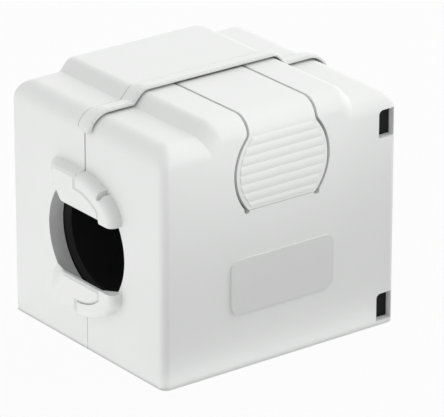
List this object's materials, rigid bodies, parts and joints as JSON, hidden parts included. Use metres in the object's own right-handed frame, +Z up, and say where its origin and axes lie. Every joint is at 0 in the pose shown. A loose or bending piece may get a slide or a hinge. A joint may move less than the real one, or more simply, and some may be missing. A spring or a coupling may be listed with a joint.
{
  "type": "clip-on ferrite bead",
  "caption": "Box-shaped plastic case, hinged along its base, that snaps shut with a thumb tongue and closes a split ferrite core round a cable to damp high-frequency noise.",
  "frame": {"origin": "middle of the base, on the line where the two halves meet", "axes": "+X towards the front half with the thumb tongue, +Y along the cable, +Z up"},
  "size_m": [0.0308, 0.0374, 0.0318],
  "materials": {
    "case_plastic": "finely grained light grey polyamide",
    "ferrite": "sintered near-black ferrite with ground mating faces"
  },
  "bodies": {
    "rear": {"rear_shell": "case_plastic", "rear_core": "ferrite", "film_hinge": "case_plastic"},
    "front": {"front_shell": "case_plastic", "front_core": "ferrite"},
    "latch": {"latch_tongue": "case_plastic"}
  },
  "joints": [
    {"name": "case_hinge", "type": "hinge", "parent": "rear", "child": "front", "pos_m": [0, 0, 0], "axis": [0, 1, 0], "range_deg": [0, 165], "deforming": ["film_hinge"]},
    {"name": "latch_press", "type": "hinge", "parent": "front", "child": "latch", "pos_m": [0.01465, 0, 0.01967], "axis": [0, -1, 0], "range_deg": [0, 4], "stiffness_Nm_per_rad": 0.5}
  ]
}
